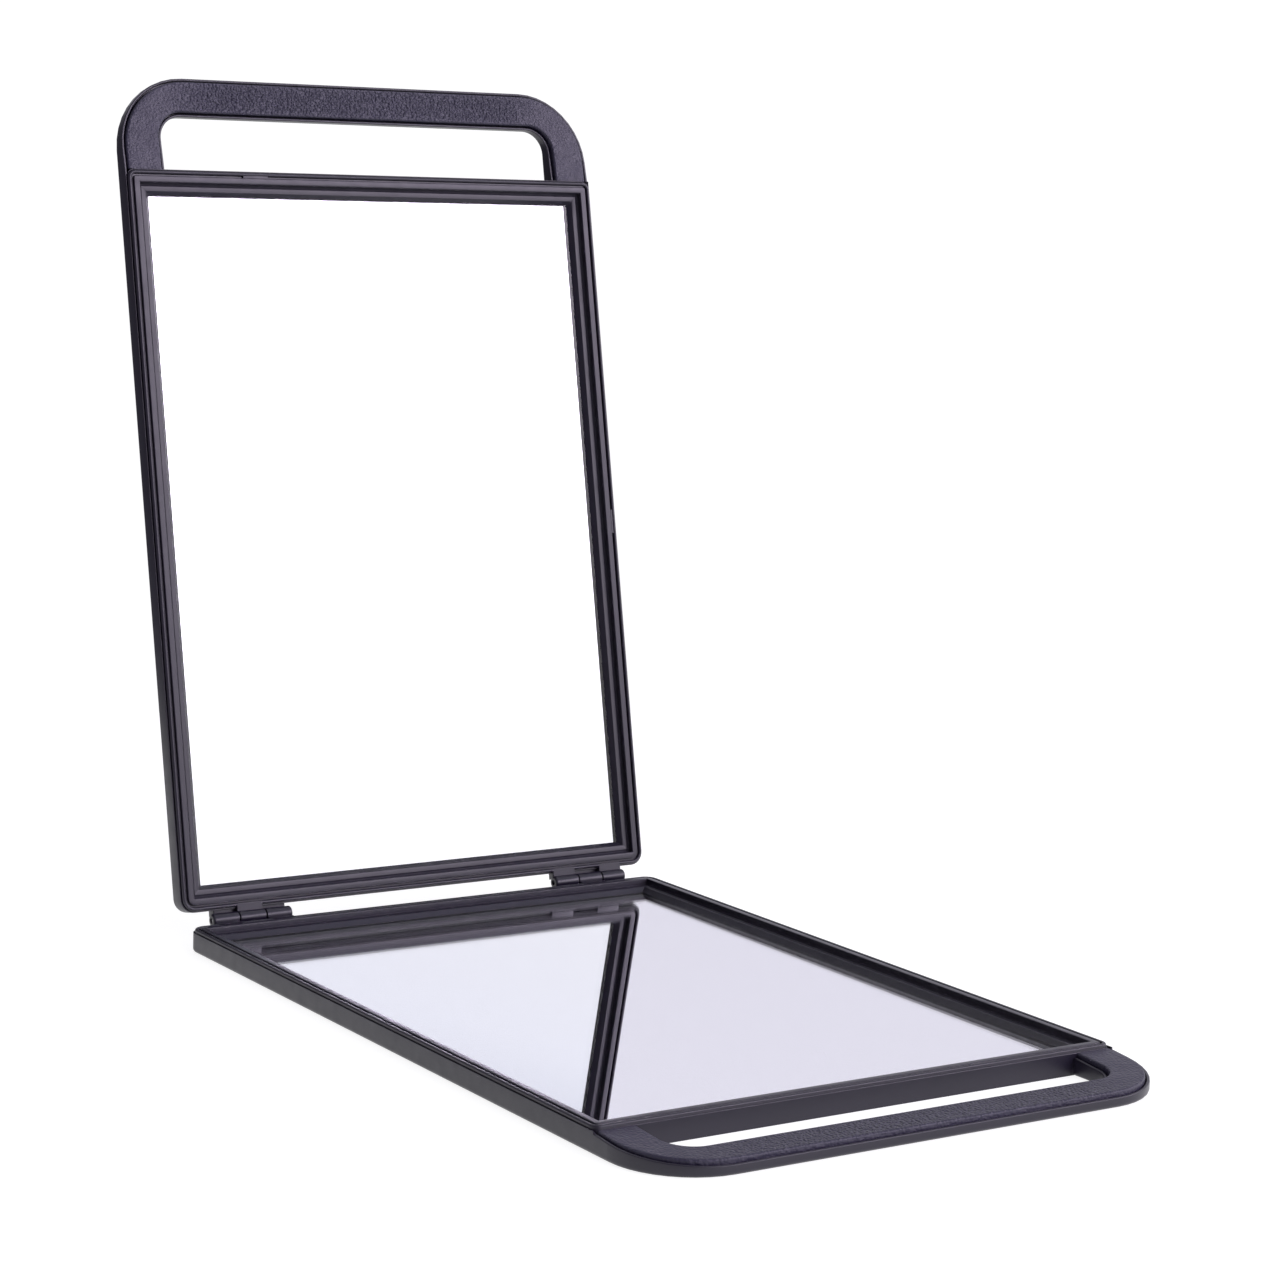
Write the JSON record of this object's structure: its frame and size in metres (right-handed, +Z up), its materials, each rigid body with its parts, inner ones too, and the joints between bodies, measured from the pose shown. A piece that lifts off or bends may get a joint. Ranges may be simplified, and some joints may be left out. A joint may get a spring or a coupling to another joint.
{
  "type": "folding hand mirror",
  "caption": "Folding mirror of two framed glasses hinged at one end, each leaf with a stepped bezel and a loop handle at its free end.",
  "frame": {"origin": "centre of the base frame's flat underside, on the surface it rests on", "axes": "+X along the hinge axis to the right as seen from the handle of the base leaf, +Y from the base leaf's handle towards the hinge, +Z up"},
  "size_m": [0.25, 0.4774, 0.3899],
  "materials": {
    "shell": "near-black moulded plastic with a satin sheen and a faint purple-grey cast",
    "grip": "near-black moulded plastic with a fine pebble grain",
    "bezel": "near-black moulded plastic with a satin sheen",
    "glass": "clear flat glass silvered on its back",
    "backing": "plain grey card, hidden",
    "pin": "plain drawn steel wire"
  },
  "bodies": {
    "base": {"base_shell": "shell", "base_grip": "grip", "base_bezel": "bezel", "base_glass": "glass", "base_pad": "backing", "left_pin": "pin"},
    "upper": {"upper_shell": "shell", "upper_grip": "grip", "upper_bezel": "bezel", "upper_glass": "glass", "upper_pad": "backing", "right_pin": "pin"}
  },
  "joints": [
    {"name": "fold", "type": "hinge", "parent": "base", "child": "upper", "pos_m": [0, 0.1745, 0.0111], "axis": [1, 0, 0], "range_deg": [-78.3, 101.7]}
  ]
}
